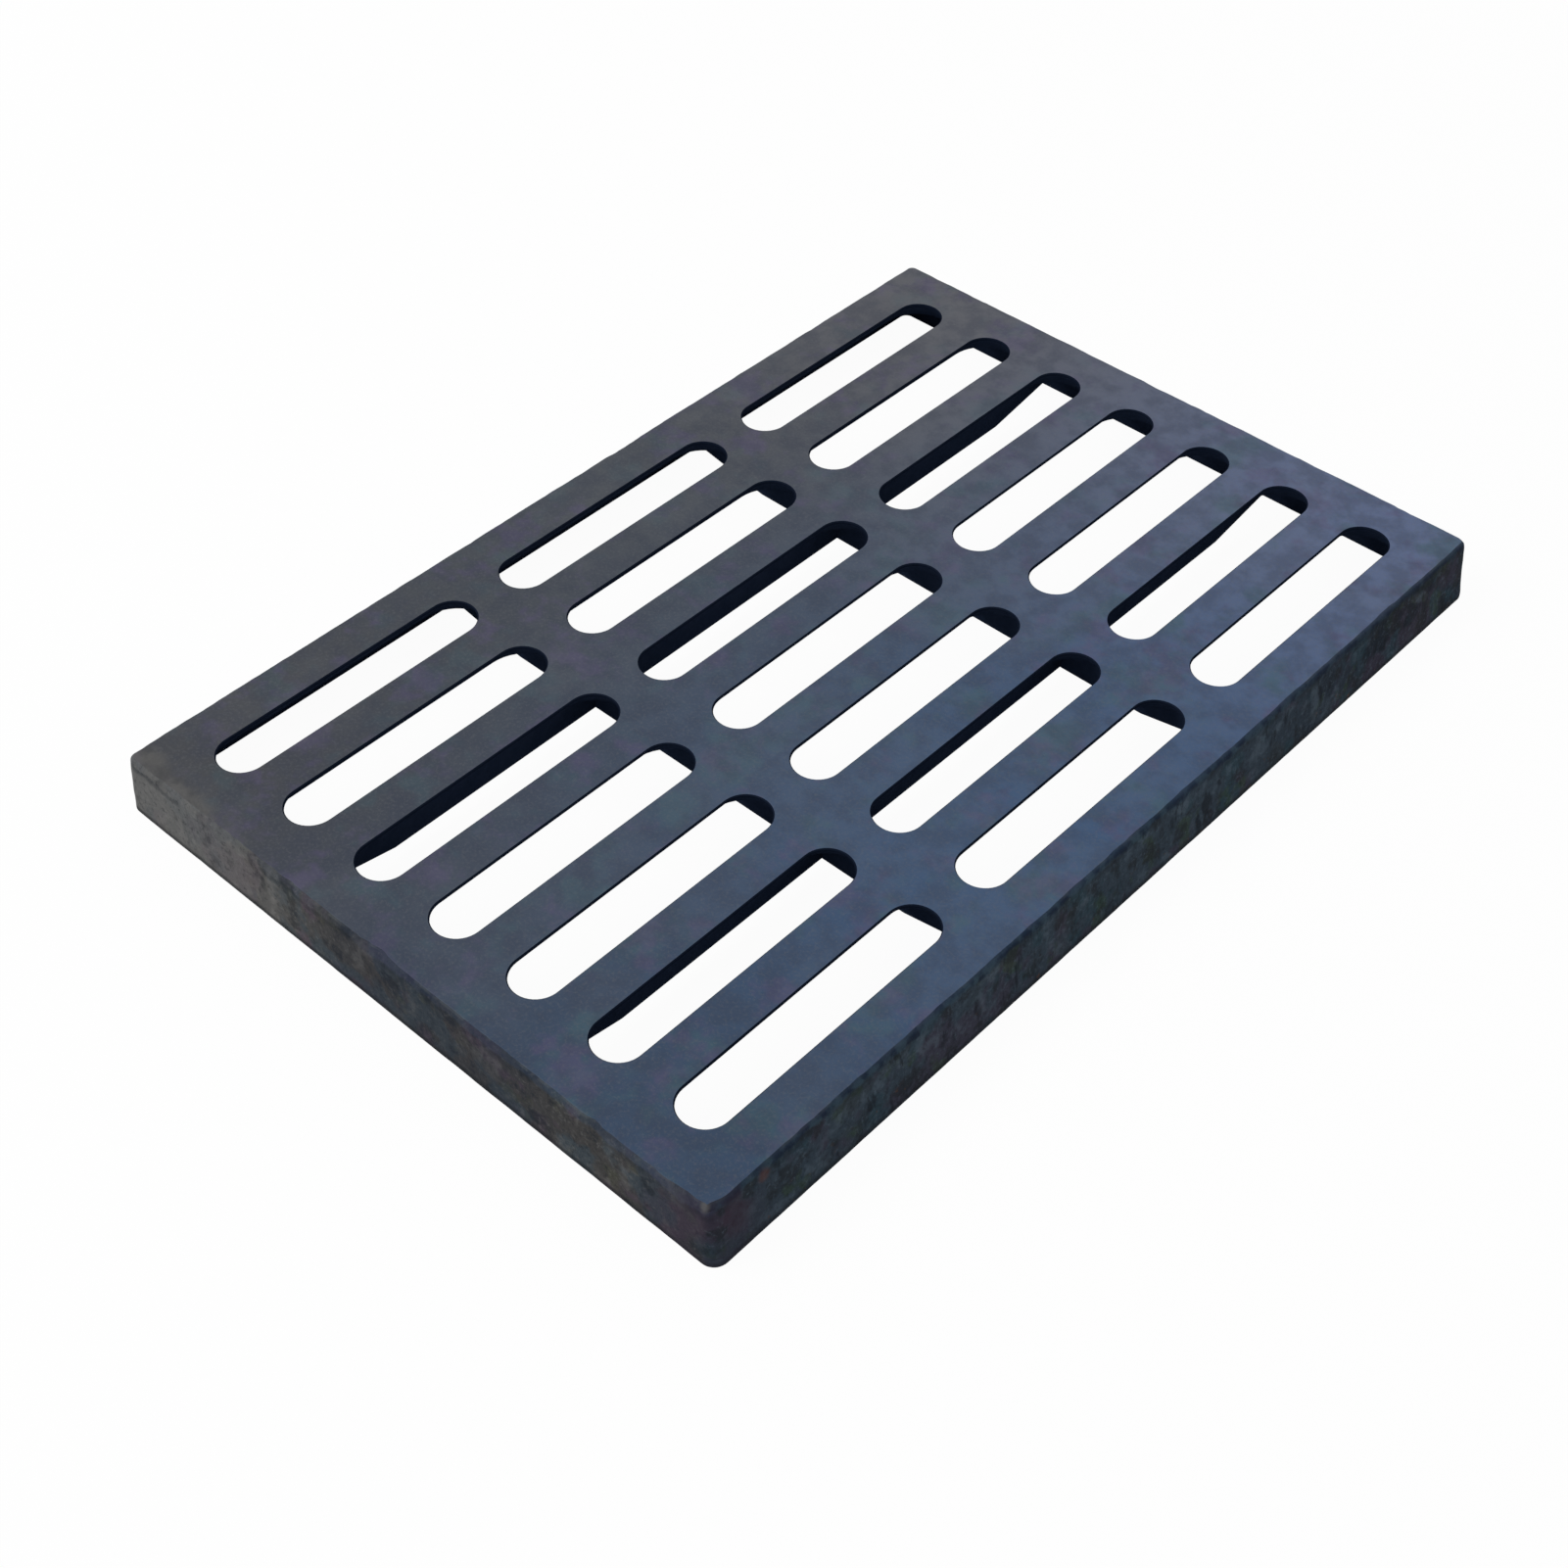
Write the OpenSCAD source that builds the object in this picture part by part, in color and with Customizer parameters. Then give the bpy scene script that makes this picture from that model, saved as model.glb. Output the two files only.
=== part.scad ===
// Cast iron sewer grate: one casting with three rows of round-ended slots.
// X runs across the slots, Y runs along them, and the grate stands on Z = 0.
// Underneath, tapered bars and two pairs of crossing ribs hang inside a closed outer wall.

/* [Overall] */
// Width across the slots, measured at the deck
width = 400; // [390:1:430]
// Length along the slots, measured at the deck
length = 600; // [595:1:640]
// Height from the seat to the deck
height = 36; // [36:1:60]
// Radius of the four upright corners at the deck
corner_r = 5; // [4:0.5:14]
// How far each long wall stands out at the seat, as the mould's draft
draft_side = 5; // [0:0.5:6]
// How far each end wall stands out at the seat
draft_end = 2; // [0:0.5:4]
// Bevel along the deck's outer edge
edge_bevel = 1.5; // [0.5:0.25:3]

/* [Slots] */
// Slots in each row
columns = 7; // [3, 5, 7]
// Rows of slots
rows = 3; // [1, 2, 3]
// Width of a slot at the deck
slot_w = 27; // [18:0.5:30]
// Length of a slot, end to end
slot_l = 165; // [120:1:170]
// Distance between the middles of neighbouring slots
slot_pitch = 53; // [50:0.5:54]
// Distance between the middles of neighbouring rows
row_pitch = 190; // [186:1:193]
// Bevel around the mouth of each slot
mouth_bevel = 0.6; // [0.3:0.1:1.5]
// Depth of a slot's upright lip, below which it opens out
lip = 1.6; // [1.6:0.2:5]

/* [Underside] */
// Depth of the bars, from the deck down
bar_depth = 13; // [10:0.5:18]
// Width of a bar along its bottom
bar_bottom = 7.5; // [7:0.5:12]
// Depth of the crossing ribs, from the deck down
rib_depth = 28; // [22:0.5:34]
// Thickness of a rib along its lower edge
rib_tip = 5; // [3:0.5:6]
// Thickness of a rib where it leaves the bar above it
rib_root = 6.4; // [6.1:0.1:6.8]
// Length over which a rib rises as it nears the outer wall
run_out = 64; // [30:2:80]
// Height by which a rib has risen where it meets the outer wall
run_rise = 13; // [2:1:14]
// Thickness of the outer wall at the seat
wall = 4; // [4:0.5:8]
// Thickness of the outer wall where it meets the deck
wall_root = 5.5; // [4.5:0.5:10]

/* [Hidden] */
slot_fn = 40;
corner_fn = 40;
over = 1;
sheet = 0.01;
iron = [0.25, 0.29, 0.35];
half_w = width / 2;
half_l = length / 2;
bar_z = height - bar_depth;
rib_z = height - rib_depth;
lip_z = height - lip;
slot_r = slot_w / 2;
// A slot's round ends are struck from centres this far from its middle
slot_end = slot_l / 2 - slot_r;
// Half the gap between two bars at their bottom
gap_r = (slot_pitch - bar_bottom) / 2;
// How much a slot widens for each millimetre down from its lip
spread = (gap_r - slot_r) / (bar_depth - lip);
column_x = [for (i = [0 : columns - 1]) (i - (columns - 1) / 2) * slot_pitch];
row_y = [for (i = [0 : rows - 1]) (i - (rows - 1) / 2) * row_pitch];
// Lengthwise ribs stand under the bars that lie one and a half slots from the middle
rib_x = columns < 5 ? [] : [-1.5 * slot_pitch, 1.5 * slot_pitch];
// Crosswise ribs stand under the bands between the rows
rib_y = rows < 2 ? [] : [for (i = [1 : rows - 1]) (i - rows / 2) * row_pitch];
// A rib can't rise past the bottom of the bars
rise = min(run_rise, rib_depth - bar_depth);
// Half of a slot's cross-section, from the air below the bars up to the air above the deck
slot_profile = [
    [gap_r + spread * over, bar_z - over],
    [slot_r, lip_z],
    [slot_r, height - mouth_bevel],
    [slot_r + mouth_bevel + over, height + over]
];

// A solid whose walls lean, from levels of [z, half width, half length, corner radius]
module leaning_block(levels) {
    hull()
        for (level = levels, side = [-1, 1], end = [-1, 1])
            translate([side * (level[1] - level[3]), end * (level[2] - level[3]), level[0]])
                cylinder(h = sheet, r = level[3], $fn = corner_fn);
}

// The whole outside of the casting, before anything is taken out of it
module outside() {
    shoulder = height - edge_bevel;
    leaning_block([
        [0, half_w + draft_side, half_l + draft_end, corner_r + 3],
        [shoulder, half_w, half_l, corner_r],
        [height - sheet, half_w - edge_bevel, half_l - edge_bevel, corner_r - edge_bevel]
    ]);
}

// The hollow that the outer wall encloses, open at the seat
module hollow() {
    out = wall - draft_side;
    out_end = wall - draft_end;
    leaning_block([
        [-sheet, half_w - out, half_l - out_end, corner_r],
        [bar_z - sheet, half_w - wall_root, half_l - wall_root, corner_r - 2]
    ]);
}

// One slot: a bevelled mouth, an upright lip, then sides that open out to the bars' bottom
module slot_cut() {
    for (end = [-1, 1])
        translate([0, end * slot_end, 0])
            rotate_extrude($fn = slot_fn)
                polygon(concat([[0, height + over], [0, bar_z - over]], slot_profile));
    rotate([90, 0, 0])
        linear_extrude(2 * slot_end, center = true)
            polygon(concat(
                [for (p = slot_profile) p],
                [for (i = [len(slot_profile) - 1 : -1 : 0]) [-slot_profile[i][0], slot_profile[i][1]]]
            ));
}

// A rib along Y that thins toward its lower edge and rises as it runs into the wall at each end
module rib(reach) {
    top = bar_z + over;
    bottom = reach - run_out;
    intersection() {
        rotate([90, 0, 0])
            linear_extrude(2 * reach, center = true)
                polygon([
                    [-rib_root / 2, top], [-rib_tip / 2, rib_z],
                    [rib_tip / 2, rib_z], [rib_root / 2, top]
                ]);
        rotate([90, 0, 90])
            linear_extrude(2 * rib_root, center = true)
                polygon([
                    [-reach, top], [-reach, rib_z + rise], [-bottom, rib_z],
                    [bottom, rib_z], [reach, rib_z + rise], [reach, top]
                ]);
    }
}

// The casting: the outside, less its hollow and slots, with the ribs under the deck
module grate() {
    color(iron)
        union() {
            difference() {
                outside();
                hollow();
                for (x = column_x, y = row_y)
                    translate([x, y, 0])
                        slot_cut();
            }
            for (x = rib_x)
                translate([x, 0, 0])
                    rib(half_l - over);
            for (y = rib_y)
                translate([0, y, 0])
                    rotate([0, 0, 90])
                        rib(half_w - over);
        }
}

grate();
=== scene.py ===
# %% [markdown]
# # A cast iron sewer grate
# This lesson dresses a road gully grate: one flat iron casting with rows of long slots.
# The casting itself was drawn as a solid, and it comes in here as a fixed part. What is left to
# do is what a drawing doesn't hold: the rough skin that the sand mould leaves on the walls, the
# smoother coated deck, the chipped edge between them, and a plain white studio.
# Everything is in metres, and the grate stands on the floor at height zero.

# %% Load the part
import math

import bmesh
import bpy
from mathutils import Matrix, Vector, noise


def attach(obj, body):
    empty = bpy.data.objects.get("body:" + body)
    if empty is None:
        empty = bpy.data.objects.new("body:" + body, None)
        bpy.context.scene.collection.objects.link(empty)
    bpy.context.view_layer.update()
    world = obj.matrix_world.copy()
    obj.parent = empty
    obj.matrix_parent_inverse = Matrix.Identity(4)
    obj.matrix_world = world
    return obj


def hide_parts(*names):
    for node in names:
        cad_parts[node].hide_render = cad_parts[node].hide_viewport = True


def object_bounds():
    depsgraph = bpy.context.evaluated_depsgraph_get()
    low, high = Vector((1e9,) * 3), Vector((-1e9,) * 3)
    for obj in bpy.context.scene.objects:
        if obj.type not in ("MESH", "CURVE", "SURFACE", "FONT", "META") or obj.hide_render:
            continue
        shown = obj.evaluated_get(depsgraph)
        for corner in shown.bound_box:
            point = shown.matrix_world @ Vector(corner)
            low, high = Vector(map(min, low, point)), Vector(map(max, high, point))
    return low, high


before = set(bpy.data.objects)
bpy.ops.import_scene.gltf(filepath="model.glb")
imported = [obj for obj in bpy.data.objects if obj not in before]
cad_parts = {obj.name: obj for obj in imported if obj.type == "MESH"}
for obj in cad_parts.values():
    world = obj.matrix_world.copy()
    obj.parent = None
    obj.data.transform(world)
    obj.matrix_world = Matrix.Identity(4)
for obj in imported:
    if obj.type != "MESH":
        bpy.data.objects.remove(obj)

part_low, part_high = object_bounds()
print("part box", [round(v, 4) for v in (*part_low, *part_high)])

# %% [markdown]
# ## Naming the sizes
# A mesh is easier to shape when the places on it have names. These are the sizes of the drawing
# that the rest of the lesson needs: where the deck lies, how far it reaches, and where its
# bevelled edge begins. A millimetre gets its own name, because most of what follows is that small.

# %% Sizes of the casting
MM = 0.001
DECK_Z = part_high.z
HALF_WIDTH = 200 * MM
HALF_LENGTH = 300 * MM
EDGE_BEVEL = 1.5 * MM
SHOULDER_Z = DECK_Z - EDGE_BEVEL
print("deck at", round(DECK_Z / MM, 2), "mm")

# %% [markdown]
# ## A copy of the casting to work on
# The part's own mesh is loose triangles, and it must stay as it is. So the skin starts from a
# copy whose doubled points are merged. Dissolving flat neighbours then gives large clean faces,
# which cut into an even grid much better than slivers do.

# %% Copy, merge and clean
SAME_POINT = 0.002 * MM
FLAT_ANGLE = math.radians(0.5)
casting = bmesh.new()
casting.from_mesh(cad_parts["grate"].data)
bmesh.ops.remove_doubles(casting, verts=casting.verts, dist=SAME_POINT)
bmesh.ops.dissolve_limit(
    casting,
    angle_limit=FLAT_ANGLE,
    verts=casting.verts,
    edges=casting.edges,
    delimit={"NORMAL"},
)
print("clean casting:", len(casting.faces), "faces")

# %% [markdown]
# ## Marking the faces
# Sand prints its grain on the walls of a casting, while the deck comes out smoother. To treat
# them apart, each face carries a number in a layer of its own: one each for the outer walls, the
# deck, what looks down at the ground, and the rest inside. A layer is safer than a list, because
# faces keep their number when they are cut.

# %% Give every face its kind
WALL, DECK, INSIDE, UNDER = 1, 2, 3, 4
DECK_BAND, SIDE_BAND, CORNER_BAND = 0.2 * MM, 2 * MM, 9 * MM
LEVEL_UP, LEVEL_DOWN, TOO_LEVEL = 0.95, -0.8, 0.9
skin = casting.faces.layers.int.new("skin")


def rims_within(centre, band):
    """How many rims lie within band of a place: 0, 1, or 2 at a corner."""
    return (abs(centre.x) > HALF_WIDTH - band) + (abs(centre.y) > HALF_LENGTH - band)


def kind_of(face):
    """What a face belongs to, from where it lies and which way it looks."""
    centre, normal = face.calc_center_median(), face.normal
    if normal.z > LEVEL_UP and centre.z > DECK_Z - DECK_BAND:
        return DECK
    outward = normal.x * centre.x + normal.y * centre.y > 0
    at_rim = rims_within(centre, SIDE_BAND) > 0 or rims_within(centre, CORNER_BAND) == 2
    if outward and abs(normal.z) < TOO_LEVEL and at_rim:
        return WALL
    return UNDER if normal.z < LEVEL_DOWN else INSIDE


for face in casting.faces:
    face[skin] = kind_of(face)
print("wall faces:", sum(face[skin] == WALL for face in casting.faces))

# %% [markdown]
# ## A grid on the walls
# A flat face can't be rough until it has points to move. Cutting only the wall faces with evenly
# spaced planes gives them a grid, and leaves the deck and the bars alone. The round corners have
# points enough, so the upright planes stop short of them. The level planes lie closer toward the
# top, where the edge chips, than at the seat.

# %% Cut the walls into a grid
GRID = 2.6 * MM
CORNER_ROOM = 8.5 * MM
ON_THE_PLANE = 0.02 * MM
# Heights of the level planes in mm
LEVELS = [2, 4.5, 8, 12, 16, 20, 24, 27.5, 30, 31.8, 33.3]


def cut_walls(point, direction):
    """Cut the wall faces, and no others, along one plane."""
    faces = [face for face in casting.faces if face[skin] == WALL]
    edges = {edge for face in faces for edge in face.edges}
    verts = {vert for face in faces for vert in face.verts}
    bmesh.ops.bisect_plane(
        casting,
        geom=faces + list(edges) + list(verts),
        dist=ON_THE_PLANE,
        plane_co=point,
        plane_no=direction,
    )


def wall_planes(half, step):
    """Places from -half to half that are about step apart."""
    count = int(2 * half / step)
    return [-half + (i + 0.5) * 2 * half / count for i in range(count)]


for x in wall_planes(HALF_WIDTH - CORNER_ROOM, GRID):
    cut_walls((x, 0, 0), (1, 0, 0))
for y in wall_planes(HALF_LENGTH - CORNER_ROOM, GRID):
    cut_walls((0, y, 0), (0, 1, 0))
for level in LEVELS:
    cut_walls((0, 0, level * MM), (0, 0, 1))
print("wall faces after the cuts:", sum(face[skin] == WALL for face in casting.faces))

# %% [markdown]
# ## The rough skin
# Two sizes of noise make the walls uneven: slow swells from the ramming of the sand, and quicker
# pits from its grain. At the top edge the noise only ever takes iron away, as knocks do in a
# yard, so the edge wanders and chips but never grows. The near end is the one that gets dragged
# and dropped, so it is knocked most, and its right corner is knocked quite round. The seat stays
# level, because it stands on the floor.

# %% Push the wall points about
ROUNDED_CORNER = Vector((HALF_WIDTH, -HALF_LENGTH))
CORNER_REACH = 13 * MM
CHIP_REACH = 5 * MM
NEAR_END = -0.29
REST_KNOCKED = 0.3
SEAT_BAND = 0.5 * MM
HAIR = 0.1 * MM


def swell(place, size, seed):
    """Noise from -1 to 1 whose lumps are about as wide as size."""
    return noise.noise(Vector(place) / size + Vector((seed, 3.1 * seed, -seed)))


def knock_at(place):
    """How hard the top edge is knocked near a place: mostly not at all."""
    knock = max(0.0, swell(place, 19 * MM, 11.0) + 0.5 * swell(place, 6 * MM, 5.0) - 0.12)
    return knock * (1.0 if place.y < NEAR_END else REST_KNOCKED)


def push(vert):
    """The move of one wall point: out or in, and down where it is on the bevel."""
    place = vert.co
    normals = [face.normal for face in vert.link_faces if face[skin] == WALL]
    outward = sum((Vector((n.x, n.y, 0)) for n in normals), Vector()).normalized()
    rough = 0.30 * swell(place, 14 * MM, 2.0) + 0.22 * swell(place, 5 * MM, 7.0)
    if place.z < SEAT_BAND:
        return outward * (0.35 * rough - 0.1) * MM
    near_edge = max(0.0, 1 - (DECK_Z - place.z) / CHIP_REACH)
    corner = max(0.0, 1 - (place.xy - ROUNDED_CORNER).length / CORNER_REACH)
    knock = knock_at(place)
    inward = near_edge * (0.25 + 2.2 * knock + 2.6 * corner)
    move = outward * (rough - inward) * MM
    if SHOULDER_Z - HAIR < place.z < DECK_Z - HAIR:
        move.z -= (0.2 + 1.4 * knock + 1.2 * corner) * MM
    return move


casting.normal_update()
wall_verts = {vert for face in casting.faces if face[skin] == WALL for vert in face.verts}
moves = {vert: push(vert) for vert in wall_verts}
for vert, move in moves.items():
    vert.co += move
most = max(move.length for move in moves.values())
print("moved", len(moves), "points, the most by", round(most / MM, 2), "mm")

# %% [markdown]
# ## Turning the mesh into a piece
# The four kinds of face get four finishes, so the layer becomes the material number. The deck
# is flat, and stays flat shaded, so that no rounding of the walls can leak into it. All else is
# smooth with a sharp limit, which keeps the slots crisp and lets the rough walls roll. The
# finished piece stands in for the drawn node and moves with its body.

# %% Make the casting's object
FINISH_ORDER = (DECK, WALL, INSIDE, UNDER)
SHARP_ANGLE = math.radians(34)
iron_mesh = bpy.data.meshes.new("iron_casting")
for face in casting.faces:
    face.material_index = FINISH_ORDER.index(face[skin])
    face.smooth = face[skin] != DECK
for edge in casting.edges:
    edge.smooth = edge.calc_face_angle(0) < SHARP_ANGLE
casting.to_mesh(iron_mesh)
casting.free()
iron = bpy.data.objects.new("iron_casting", iron_mesh)
bpy.context.scene.collection.objects.link(iron)
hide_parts("grate")
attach(iron, "root")
print("casting:", len(iron_mesh.polygons), "faces")

# %% [markdown]
# ## A short way to write shader maths
# A material is a small program made of nodes. Wrapping a socket in a class with operators lets
# the maths be written as maths: `low + (high - low) * mask` then adds the Math nodes by itself.
# Colours go through Mix nodes instead, because a Math node would turn them grey. Every other
# node comes from one method that takes its type, its settings and its sockets.

# %% The shader class
class Wire:
    """A socket that can be added, taken away, multiplied and used in other nodes."""

    def __init__(self, tree, socket):
        self.tree, self.socket = tree, socket

    def node(self, kind, settings=None, out=0, **sockets):
        """Any node: a socket goes by its name, or by its number as _0, _1 and so on."""
        made = self.tree.nodes.new(kind)
        for name, value in (settings or {}).items():
            setattr(made, name, value)
        for name, value in sockets.items():
            key = int(name[1:]) if name[0] == "_" else name.replace("_", " ")
            plug(self.tree, made.inputs[key], value)
        return Wire(self.tree, made.outputs[out])

    def maths(self, operation, *values):
        """A Math node on all its values; the wire itself counts only if it is one of them."""
        sockets = {f"_{i}": value for i, value in enumerate(values)}
        return self.node("ShaderNodeMath", {"operation": operation}, **sockets)

    def __add__(self, other):
        return self.maths("ADD", self, other)

    def __radd__(self, other):
        return self.maths("ADD", other, self)

    def __sub__(self, other):
        return self.maths("SUBTRACT", self, other)

    def __rsub__(self, other):
        return self.maths("SUBTRACT", other, self)

    def __mul__(self, other):
        return self.maths("MULTIPLY", self, other)

    def __rmul__(self, other):
        return self.maths("MULTIPLY", other, self)

    def part(self, axis):
        """The X, Y or Z of a place."""
        return self.node("ShaderNodeSeparateXYZ", out="XYZ".index(axis), _0=self)

    def between(self, low, high):
        """0 below low, 1 above high, and a smooth ramp from one to the other."""
        settings = {"interpolation_type": "SMOOTHSTEP"}
        return self.node("ShaderNodeMapRange", settings, Value=self, From_Min=low, From_Max=high)


def plug(tree, socket, value):
    """Join a wire to a socket, or set the socket to a plain value."""
    if isinstance(value, Wire):
        tree.links.new(value.socket, socket)
    else:
        socket.default_value = value


def colour_mix(mask, low, high):
    """low where mask is 0 and high where it is 1; both are colours or wires of colours."""
    pair = [value if isinstance(value, Wire) else (*value, 1.0) for value in (low, high)]
    settings = {"data_type": "RGBA", "clamp_factor": True}
    return mask.node("ShaderNodeMix", settings, out=2, _0=mask, _6=pair[0], _7=pair[1])


def grain(place, size, detail=3.0, roughness=0.55):
    """Noise from 0 to 1 whose lumps are about as wide as size."""
    settings = {"noise_dimensions": "3D"}
    sockets = {"Vector": place, "Scale": 1 / size, "Detail": detail, "Roughness": roughness}
    return place.node("ShaderNodeTexNoise", settings, **sockets)


def bump(height, depth, under=None):
    """Dents of a height from 0 to 1 that are as deep as depth, on top of another bump."""
    sockets = {"Height": height, "Distance": depth, "Strength": 1.0}
    if under is not None:
        sockets["Normal"] = under
    return height.node("ShaderNodeBump", None, **sockets)


def new_finish(name):
    """A material with a Principled shader, and a wire that holds the place on the object."""
    material = bpy.data.materials.new(name)
    material.use_nodes = True
    tree = material.node_tree
    shader = tree.nodes["Principled BSDF"]
    coordinates = tree.nodes.new("ShaderNodeTexCoord")
    return material, tree, shader, Wire(tree, coordinates.outputs["Object"])


print("shader helpers ready")

# %% [markdown]
# ## The deck's coat
# The deck has a thin dark coating over iron. It is never one flat colour: it runs from a warm
# slate on the left to a bluer slate on the right, and gets paler away from the near end. That run
# of colour is a painted reflection of the sky over the coat's own dark slate. Patches of teal and
# violet show where the coating is thick or thin, with more of the teal on the right.
# Building this from a few slow mixes keeps each cause apart, so each can be tuned alone. It is a
# function, because the coat also wraps over the edge onto the walls.

# %% The coat as a function
# Coat colours with a painted sky reflection: near, middle and far, for the left and the right side
LEFT_COAT_AND_SHEEN = ((0.036, 0.039, 0.047), (0.043, 0.051, 0.064), (0.090, 0.093, 0.108))
RIGHT_COAT_AND_SHEEN = ((0.026, 0.053, 0.104), (0.039, 0.083, 0.170), (0.101, 0.138, 0.252))
TEAL = (0.036, 0.094, 0.118)
VIOLET = (0.078, 0.061, 0.142)


def coat_and_sheen(place):
    """The colour of the coat at a place, with its painted sky reflection, from three colours for
    each side of the deck.
    """
    # Painted reflection: warm to blue across the deck, and paler toward the far end
    across = place.part("X").between(-0.17, 0.17)
    first_half = place.part("Y").between(-0.29, -0.04)
    last_half = place.part("Y").between(-0.02, 0.32)
    sides = [
        colour_mix(last_half, colour_mix(first_half, near, middle), far)
        for near, middle, far in (LEFT_COAT_AND_SHEEN, RIGHT_COAT_AND_SHEEN)
    ]
    teal = grain(place, 38 * MM, 3.0, 0.68).between(0.50, 0.66)
    violet = grain(place, 29 * MM, 3.0, 0.68).between(0.51, 0.67)
    coat = colour_mix(teal * (0.22 + 0.33 * across), colour_mix(across, *sides), TEAL)
    return colour_mix(violet * 0.46, coat, VIOLET)


print("the coat runs through", len(LEFT_COAT_AND_SHEEN) + len(RIGHT_COAT_AND_SHEEN), "colours")

# %% [markdown]
# ## The deck's marks
# Over the coat lie a faint bloom, darker blotches and pale specks, each the same noise at another
# size. Close to the outer edge the coating is rubbed, and a pale line shows here and there that is
# partly bare iron and partly a painted highlight. At the left corner the near edge is worn right
# through to grey, in a ragged strip that tapers off to the right. The distance from the edge is
# worked out from the place, so both follow the rim exactly.

# %% Blotches, specks and worn edges
BLOOM, BLOTCH, SPECK = (0.150, 0.160, 0.180), (0.036, 0.044, 0.070), (0.115, 0.122, 0.135)
BARE_IRON_AND_HIGHLIGHT = (0.125, 0.145, 0.155)
WORN_IRON = ((0.088, 0.086, 0.083), (0.050, 0.050, 0.050))
deck_finish, tree, shader, place = new_finish("deck_coat_and_painted_sheen")
slate = coat_and_sheen(place)
bloom = grain(place, 70 * MM, 2.0, 0.5).between(0.46, 0.60)
slate = colour_mix(bloom * 0.08, slate, BLOOM)
blotch = grain(place, 13 * MM, 4.0, 0.6).between(0.36, 0.66)
slate = colour_mix(blotch * 0.36, slate, BLOTCH)
speck = grain(place, 1.7 * MM, 3.0, 0.65).between(0.45, 0.75)
slate = colour_mix(speck * 0.26, slate, SPECK)
along, depth = place.part("X"), place.part("Y")
from_side = HALF_WIDTH - along.maths("ABSOLUTE", along)
from_end = HALF_LENGTH - depth.maths("ABSOLUTE", depth)
from_edge = from_side.maths("MINIMUM", from_side, from_end)
wander = grain(place, 15 * MM, 4.0, 0.6)
# Pale line near the outer edge: partly bare iron, partly a painted highlight
rubbed_edge_and_highlight = (1 - from_edge.between(1.6 * MM, 2.6 * MM)) * wander.between(0.44, 0.76)
slate = colour_mix(rubbed_edge_and_highlight * 0.3, slate, BARE_IRON_AND_HIGHLIGHT)
strip = 15 * MM * (1 - along.between(-0.215, -0.085)) + 16 * MM * (wander - 0.5)
worn = 1 - (depth + HALF_LENGTH - strip).between(-6 * MM, 5 * MM)
worn = worn * (1 - along.between(-0.14, -0.08))
slate = colour_mix(worn * 0.8, slate, colour_mix(blotch, *WORN_IRON))
print("deck marks:", len(tree.nodes), "nodes so far")

# %% [markdown]
# ## The deck's sheen
# A worn coating is neither matt nor glossy: it shines a little, and less on its blotches. Slow
# swells and a fine grain dent it, the grain on top of the swells, so that the shine breaks up.

# %% Colour, roughness and dents of the deck
plug(tree, shader.inputs["Base Color"], slate)
plug(tree, shader.inputs["Roughness"], 0.56 + 0.16 * blotch)
swells = bump(grain(place, 12 * MM, 3.0), 0.3 * MM)
plug(tree, shader.inputs["Normal"], bump(grain(place, 1.3 * MM, 3.0, 0.6), 0.06 * MM, swells))
shader.inputs["Specular IOR Level"].default_value = 0.3
print("deck finish:", len(tree.nodes), "nodes")

# %% [markdown]
# ## The walls' finish: what is where
# The outer walls keep the skin that the sand left, and it isn't the same all round. It is palest
# at the left end and browner toward the near corner. The right side is cooler and darker, partly
# with painted shade, and almost black in the far third, which is painted shade. Each of these is a
# mask, a wire from 0 to 1 that grows along one axis. All later colours are picked through the
# masks.

# %% Masks and ground colours of the walls
LEFT_PALE_SKIN, BROWN_SKIN = (0.122, 0.122, 0.121), (0.067, 0.063, 0.058)
SIDE_SKIN_AND_SHADE, FAR_PAINTED_SHADE = (0.048, 0.071, 0.097), (0.008, 0.013, 0.028)
wall_finish, tree, shader, place = new_finish("sand_cast_wall")
lumps = grain(place, 16 * MM, 5.0, 0.6)
grit = grain(place, 2.6 * MM, 4.0, 0.68)
along, height = place.part("X"), place.part("Z")
right_side = along.between(0.196, 0.2005)
far_third = right_side * place.part("Y").between(0.05, 0.24)
stained = 0.25 + 0.75 * along.between(-0.13, -0.03)
grey = colour_mix(along.between(-0.14, -0.02), LEFT_PALE_SKIN, BROWN_SKIN)
# The right side's cooler, darker grey is partly painted shade
grey = colour_mix(right_side, grey, SIDE_SKIN_AND_SHADE)
# Painted shade: the far third of the right side goes almost black
grey = colour_mix(far_third * 0.62, grey, FAR_PAINTED_SHADE)
print("wall masks:", len(tree.nodes), "nodes so far")

# %% [markdown]
# ## Stains
# Broad, soft patches of brown, plum, teal and olive lie over the grey. They are the same noise at
# different sizes, cut off at a high level so that only islands are left. A table of sizes and
# colours keeps them easy to compare: each row has one colour for the end walls and one for the
# right side, which is darker with painted shade. Over them goes a thin wash of soil, heavier on
# the right side, which thickens to blots in the far third; that extra darkness on the right side
# and in the far third is painted shade.

# %% Patches of colour
# Size in mm, the noise at which a patch starts and is full, strength, end colour, and side colour
# darkened with painted shade
STAINS = [
    (44, 0.50, 0.64, 0.35, (0.108, 0.088, 0.066), (0.048, 0.053, 0.044)),
    (37, 0.51, 0.60, 0.65, (0.112, 0.076, 0.109), (0.064, 0.050, 0.081)),
    (29, 0.51, 0.60, 0.65, (0.058, 0.086, 0.106), (0.030, 0.071, 0.094)),
    (23, 0.57, 0.66, 0.50, (0.083, 0.086, 0.051), (0.045, 0.078, 0.029)),
]
SOIL_AND_SHADE = (0.006, 0.010, 0.017)
THIN_WASH = 0.5


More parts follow.
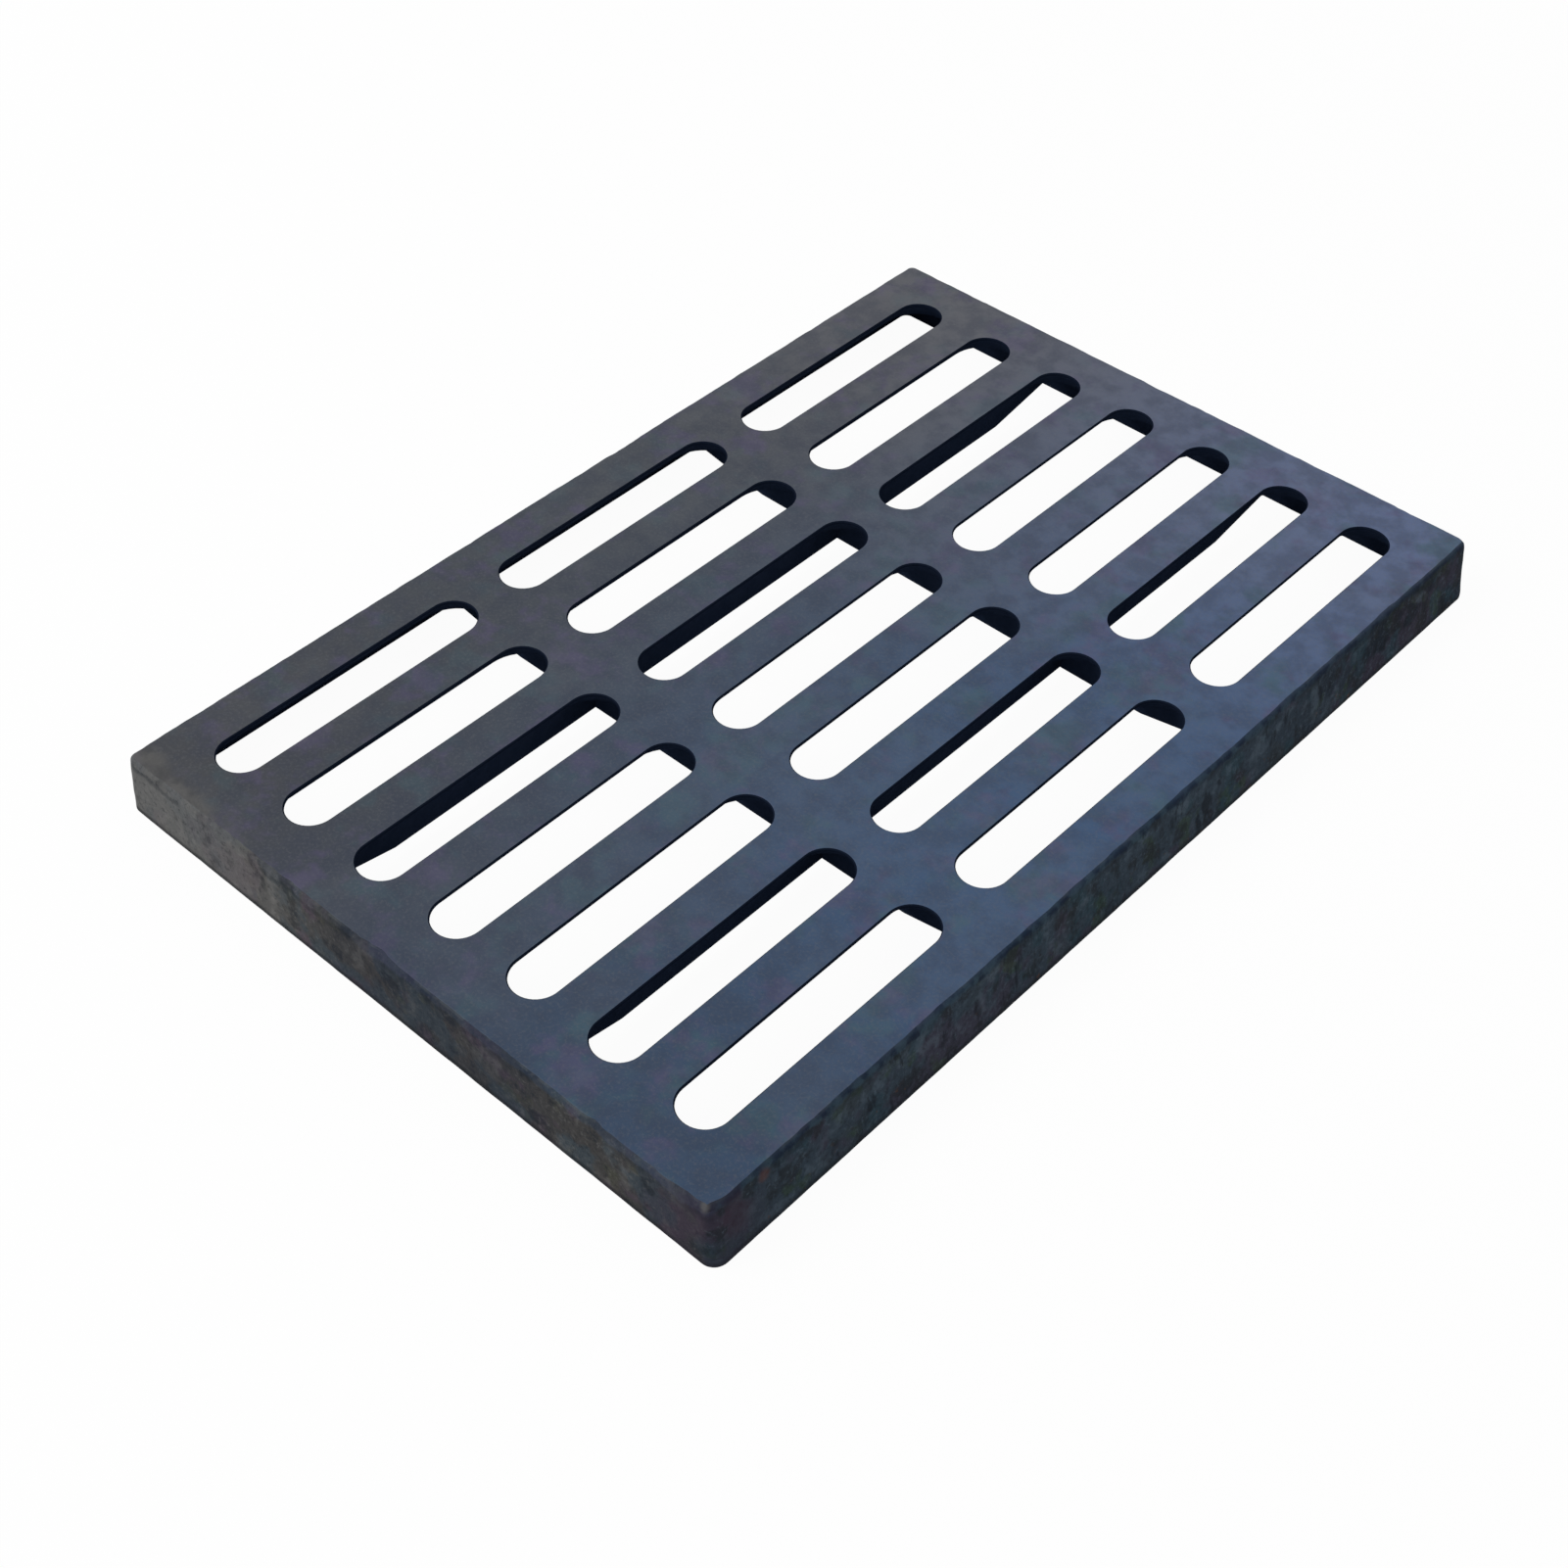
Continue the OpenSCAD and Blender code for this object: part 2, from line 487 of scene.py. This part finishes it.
def patches(size, low, high):
    """Islands of 1 in a sea of 0, about size mm across."""
    return grain(place, size * MM, 3.0, 0.55).between(low, high)


# The side colour of each stain is a darker copy: painted shade
for size, low, high, strength, end_colour, shaded_side_colour in STAINS:
    stain = colour_mix(right_side, end_colour, shaded_side_colour)
    grey = colour_mix(patches(size, low, high) * stained * strength, grey, stain)
# Soil wash, heavier on the right side and in blots over the far third: there it is partly painted
# shade
blots = patches(34, 0.50, 0.58) * (0.3 + 0.7 * far_third)
soil_wash_and_shade = blots.maths("MAXIMUM", blots, THIN_WASH)
grey = colour_mix(soil_wash_and_shade * stained * (0.5 + 0.3 * right_side), grey, SOIL_AND_SHADE)
print(len(STAINS), "kinds of stain and a wash of soil")

# %% [markdown]
# ## Scuffs, pits and streaks
# High spots of the skin are scuffed pale and its pits are dark, at two sizes, so the same lumps
# and grit that dent the surface also colour it. On the right side the scuffs are darker, with
# painted shade. Painted shade also darkens the end walls over the middle of their width. Water has
# run down and left dark streaks, most of all on the right side: those are noise too, read at a
# place whose height is squeezed, which draws it out upright.

# %% Wear and water marks
END_SCUFF, SIDE_SCUFF_IN_SHADE = (0.190, 0.188, 0.184), (0.104, 0.140, 0.180)
HOLLOW, PIT, STREAK = (0.012, 0.015, 0.019), (0.010, 0.012, 0.016), (0.005, 0.008, 0.013)
SHADE = (0.008, 0.014, 0.028)
# On the right side the scuffs are darker, with painted shade
scuff = colour_mix(right_side, END_SCUFF, SIDE_SCUFF_IN_SHADE)
grey = colour_mix(lumps.between(0.52, 0.68) * 0.38, grey, scuff)
hollows = (1 - lumps.between(0.36, 0.47)) * (0.3 + 0.4 * stained)
grey = colour_mix(hollows, grey, HOLLOW)
grey = colour_mix(grit.between(0.52, 0.72) * 0.36, grey, scuff)
grey = colour_mix((1 - grit.between(0.32, 0.46)) * 0.5, grey, PIT)
# Painted shade over the middle of the end walls
middle = 0.45 * along.between(-0.09, -0.01) - 0.32 * along.between(0.07, 0.12)
middle = middle + 0.18 * along.between(0.14, 0.17)
grey = colour_mix(middle * (1 - right_side), grey, SHADE)
upright = place.node("ShaderNodeVectorMath", {"operation": "MULTIPLY"}, _0=place, _1=(1, 1, 0.3))
streaks = 1 - grain(upright, 8 * MM, 4.0, 0.62).between(0.34, 0.46)
streaks = streaks * patches(33, 0.42, 0.56)
grey = colour_mix(streaks * (0.3 + 0.45 * right_side), grey, STREAK)
print("wear:", len(tree.nodes), "nodes so far")

# %% [markdown]
# ## The top edge and the foot
# The deck's coat, with its painted sky reflection, wraps over the edge in a ragged line, with a
# painted shadow line under it and a pale line on the arris that is partly bare iron and partly a
# painted highlight. On the right side that coat is in the shade and darker, most of all in the far
# third, and that darkness is painted shade. The foot of the wall is darkened by a painted contact
# shadow. All four are ramps over the height, and lumps added to the height make the upper two
# ragged.

# %% Coat over the edge, seam, arris and foot
EDGE_SHADOW, FOOT_SHADOW = (0.012, 0.017, 0.024), (0.006, 0.008, 0.011)
SHADED_COAT = ((0.006, 0.012, 0.028), (0.034, 0.060, 0.084))
FAR_SHADED_COAT = (0.004, 0.008, 0.018)
SHADED_IRON_AND_HIGHLIGHT = (0.050, 0.062, 0.078)
ragged = height + 9 * MM * (lumps - 0.5)
wrap = ragged.between(DECK_Z - 4.6 * MM, DECK_Z - 2.6 * MM)
# Painted shadow line under the deck's edge
edge_shadow = ragged.between(DECK_Z - 8 * MM, DECK_Z - 5 * MM) * (1 - wrap) * patches(21, 0.46, 0.56)
grey = colour_mix(edge_shadow * 0.45, grey, EDGE_SHADOW)
# Painted shade: the coat over the right side's edge is darker, most of all in the far third
shaded_coat = colour_mix(patches(9, 0.40, 0.62), *SHADED_COAT)
shaded_coat = colour_mix(far_third * 0.65, shaded_coat, FAR_SHADED_COAT)
# On the end walls the wrapped coat keeps its painted sky reflection; on the right side it is
# painted shade
edge_coat = colour_mix(right_side, coat_and_sheen(place), shaded_coat)
grey = colour_mix(wrap * stained * (0.3 + 0.55 * right_side), grey, edge_coat)
# Pale line on the arris: partly bare iron, partly a painted highlight, darker on the shaded right
# side
arris_wear_and_highlight = height.between(DECK_Z - 1.2 * MM, DECK_Z - 0.5 * MM) * patches(15, 0.50, 0.62)
grey = colour_mix(arris_wear_and_highlight * 0.22, grey, colour_mix(right_side, BARE_IRON_AND_HIGHLIGHT, SHADED_IRON_AND_HIGHLIGHT))
# Painted contact shadow along the foot of the wall
foot_shadow = 1 - height.between(1.6 * MM, 4.4 * MM)
grey = colour_mix(foot_shadow * 0.65, grey, FOOT_SHADOW)
print("edge and foot:", len(tree.nodes), "nodes so far")

# %% [markdown]
# ## Rust, and the skin's relief
# Rust shows as one small spot near the corner, a purple bloom around that corner, and a few
# specks low on the right side. The corner's top also has a pale glint over bare iron, which is a
# painted highlight. A spot is the distance from one place, turned into a mask and broken up by the
# lumps. The dents come last: the lumps deep and broad, the grit shallow on top.

# %% Rust and bump
# Centre, reach in mm, strength and colour: rust, the stain around it, the bloom, and the glint,
# which is a painted highlight
CORNER_MARKS = [
    ((0.2005, -0.2667, 0.0308), 5, 0.45, (0.125, 0.055, 0.040)),
    ((0.2020, -0.2870, 0.0230), 16, 0.35, (0.070, 0.030, 0.042)),
    ((0.2000, -0.3000, 0.0160), 46, 0.50, (0.026, 0.021, 0.036)),
    # Painted highlight: the glint on the corner's arris
    ((0.1955, -0.2975, 0.0350), 3.4, 0.45, (0.150, 0.150, 0.140)),
]
RUST_SPECK = (0.095, 0.050, 0.032)


def spot(centre, reach):
    """1 at the centre and 0 from reach on, with holes where the lumps are low."""
    settings = {"operation": "DISTANCE"}
    distance = place.node("ShaderNodeVectorMath", settings, out=1, _0=place, _1=centre)
    return (1 - distance.between(0.3 * reach, reach)) * lumps.between(0.36, 0.50)


specks = grain(place, 6 * MM, 3.0, 0.6).between(0.64, 0.71) * right_side
specks = specks * (1 - height.between(7 * MM, 18 * MM))
grey = colour_mix(specks * 0.5, grey, RUST_SPECK)
for centre, reach, strength, colour in CORNER_MARKS:
    grey = colour_mix(spot(centre, reach * MM) * strength, grey, colour)
plug(tree, shader.inputs["Base Color"], grey)
plug(tree, shader.inputs["Roughness"], 0.74 + 0.14 * lumps)
plug(tree, shader.inputs["Normal"], bump(grit, 0.3 * MM, bump(lumps, 1.4 * MM)))
shader.inputs["Specular IOR Level"].default_value = 0.07
print("wall finish:", len(tree.nodes), "nodes")

# %% [markdown]
# ## The inside's finish
# Down in the slots the coat is almost black with a trace of navy, much darker than the same coat
# on the deck: that extra darkness is painted shade. It is fully matt: even a faint shine shows on
# walls seen at a glancing angle, and would fill the slots with a light that the real ones don't
# have. The upright lip right under the deck gets the most light, so its own colour is darker
# still, which is painted shade too.

# %% Slot walls and the sides of the ribs
SLOT_COAT_AND_SHADE = ((0.011, 0.020, 0.044), (0.026, 0.038, 0.072))
LIP_SHADE = (0.003, 0.005, 0.011)
inside_finish, tree, shader, place = new_finish("slot_coat_painted_shade")
soot = grain(place, 8 * MM, 4.0, 0.6)
lip_shade = place.part("Z").between(DECK_Z - 2.6 * MM, DECK_Z - 1.2 * MM)
# Painted shade: the slot coat is far darker than on the deck, and darker still on the lit lip
black = colour_mix(lip_shade * 0.7, colour_mix(soot, *SLOT_COAT_AND_SHADE), LIP_SHADE)
plug(tree, shader.inputs["Base Color"], black)
plug(tree, shader.inputs["Normal"], bump(soot, 0.4 * MM))
shader.inputs["Roughness"].default_value = 0.8
shader.inputs["Specular IOR Level"].default_value = 0.0
print("inside finish:", len(tree.nodes), "nodes")

# %% [markdown]
# ## The underside's finish
# What looks down at the water is never coated again after the foundry. It is bare iron gone
# dull: dark grey with soft brown rust where drops hang, and paler crusts where mud has dried. The
# picture doesn't show it, so this finish is a guess from other gully grates. It is the last of
# the four, so here the mesh gets all four, in the order of their numbers.

# %% Bottoms of the bars, ribs and seat
DULL_IRON, RUST, MUD = (0.024, 0.026, 0.030), (0.046, 0.030, 0.022), (0.060, 0.056, 0.050)
under_finish, tree, shader, place = new_finish("underside_iron")
drops = grain(place, 26 * MM, 4.0, 0.6)
crust = grain(place, 4 * MM, 4.0, 0.65)
dull = colour_mix(drops.between(0.48, 0.64) * 0.6, DULL_IRON, RUST)
dull = colour_mix(crust.between(0.52, 0.70) * 0.4, dull, MUD)
dull = colour_mix((1 - crust.between(0.34, 0.46)) * 0.5, dull, SOIL_AND_SHADE)
plug(tree, shader.inputs["Base Color"], dull)
plug(tree, shader.inputs["Roughness"], 0.76 + 0.16 * crust)
plug(tree, shader.inputs["Normal"], bump(crust, 0.4 * MM))
shader.inputs["Specular IOR Level"].default_value = 0.2
for finish in (deck_finish, wall_finish, inside_finish, under_finish):
    iron_mesh.materials.append(finish)
print("finishes on the casting:", [m.name for m in iron_mesh.materials])

# %% [markdown]
# ## The floor
# The studio has a pale floor that reads as pure white to the camera, and still takes the soft
# shadow of the grate. A plain white floor would come out grey under plain light, so most of what
# the camera sees of it is its own light at a strength of 1, and the rest is lit as usual. The
# mix is for camera, mirror and glass rays alone, so the floor throws no extra light on the iron.
# Away from the grate the floor's own white takes over completely, so that it meets the white
# world without a line.

# %% Floor
FLOOR_REACH = 6.0
BELOW_SEAT = 0.2 * MM
SELF_WHITE = 0.96
SEEN_RAYS = ("Is Camera Ray", "Is Glossy Ray", "Is Transmission Ray")
floor_mesh = bpy.data.meshes.new("studio_floor")
sheet = bmesh.new()
bmesh.ops.create_grid(sheet, x_segments=1, y_segments=1, size=FLOOR_REACH)
bmesh.ops.translate(sheet, verts=sheet.verts, vec=(0, 0, -BELOW_SEAT))
sheet.to_mesh(floor_mesh)
sheet.free()
floor = bpy.data.objects.new("studio_floor", floor_mesh)
bpy.context.scene.collection.objects.link(floor)


def seen(wire):
    """1 on rays from the camera, a mirror or glass, and 0 on all others."""
    rays = [wire.node("ShaderNodeLightPath", out=name) for name in SEEN_RAYS]
    return (rays[0] + rays[1] + rays[2]).between(0.0, 1.0)


floor_finish, tree, shader, place = new_finish("studio_white")
shader.inputs["Base Color"].default_value = (0.9, 0.9, 0.9, 1)
shader.inputs["Roughness"].default_value = 0.9
shader.inputs["Specular IOR Level"].default_value = 0.0
lit = Wire(tree, shader.outputs[0])
glow = lit.node("ShaderNodeEmission", Color=(1, 1, 1, 1), Strength=1.0)
away = place.node("ShaderNodeVectorMath", {"operation": "LENGTH"}, out=1, _0=place)
white = SELF_WHITE + (1 - SELF_WHITE) * away.between(0.5, 2.5)
mixed = lit.node("ShaderNodeMixShader", _0=seen(lit) * white, _1=lit, _2=glow)
tree.links.new(mixed.socket, tree.nodes["Material Output"].inputs["Surface"])
floor_mesh.materials.append(floor_finish)
print("floor reaches", FLOOR_REACH, "m each way")

# %% [markdown]
# ## Soft light
# An even white world lights the grate from all sides, as a light tent does. One large lamp high
# on the left makes the near left wall a little paler than the right one and gives the deck its
# sheen. Both stay at a plain level, so the colours come out about as they were written.

# %% World and lamp
WORLD_LIGHT = 0.55
LAMP_PLACE, LAMP_WIDTH, LAMP_WATTS = Vector((-1.4, -1.6, 2.2)), 1.6, 42
world = bpy.data.worlds.new("light_tent")
world.use_nodes = True
bpy.context.scene.world = world
tree = world.node_tree
tree.nodes["Background"].inputs["Color"].default_value = (1, 1, 1, 1)
tent = Wire(tree, tree.nodes["Background"].outputs[0])
backdrop = tent.node("ShaderNodeBackground", Color=(1, 1, 1, 1), Strength=1.0)
tree.nodes["Background"].inputs["Strength"].default_value = WORLD_LIGHT
sky = tent.node("ShaderNodeMixShader", _0=seen(tent), _1=tent, _2=backdrop)
tree.links.new(sky.socket, tree.nodes["World Output"].inputs["Surface"])

lamp = bpy.data.lights.new("key_lamp", "AREA")
lamp.shape, lamp.size, lamp.energy = "SQUARE", LAMP_WIDTH, LAMP_WATTS
stand = bpy.data.objects.new("key_lamp", lamp)
stand.location = LAMP_PLACE
stand.rotation_mode = "QUATERNION"
stand.rotation_quaternion = (-LAMP_PLACE).to_track_quat("-Z", "Y")
bpy.context.scene.collection.objects.link(stand)
print("world at", WORLD_LIGHT, "and one soft lamp")

# %% [markdown]
# ## The camera
# The camera stands to the right of the near corner and looks down at about 45 degrees, close
# enough for the far end to look clearly smaller. Its place and its three axes were worked out
# from the way the deck's sides and slots run together in the distance, so the render can be laid
# over the picture.

# %% Camera
PICTURE = 1601
FOCAL_PIXELS = 2407.344
SENSOR = 36.0
CAMERA_PLACE = (0.6004125, -0.6947724, 0.8547368)
camera_data = bpy.data.cameras.new("camera")
camera_data.sensor_width = SENSOR
camera_data.lens = FOCAL_PIXELS * SENSOR / PICTURE
camera = bpy.data.objects.new("camera", camera_data)
right = Vector((0.736504079, 0.676419619, 0.004270804))
down = Vector((0.481915983, -0.520271753, -0.705034955))
ahead = Vector((-0.474677497, 0.521319289, -0.709159694))
turn = Matrix((right, -down, -ahead)).transposed().to_4x4()
camera.matrix_world = Matrix.Translation(CAMERA_PLACE) @ turn
bpy.context.scene.collection.objects.link(camera)
bpy.context.scene.camera = camera
bpy.context.scene.view_settings.view_transform = "Standard"
print("lens", round(camera_data.lens, 2), "mm")
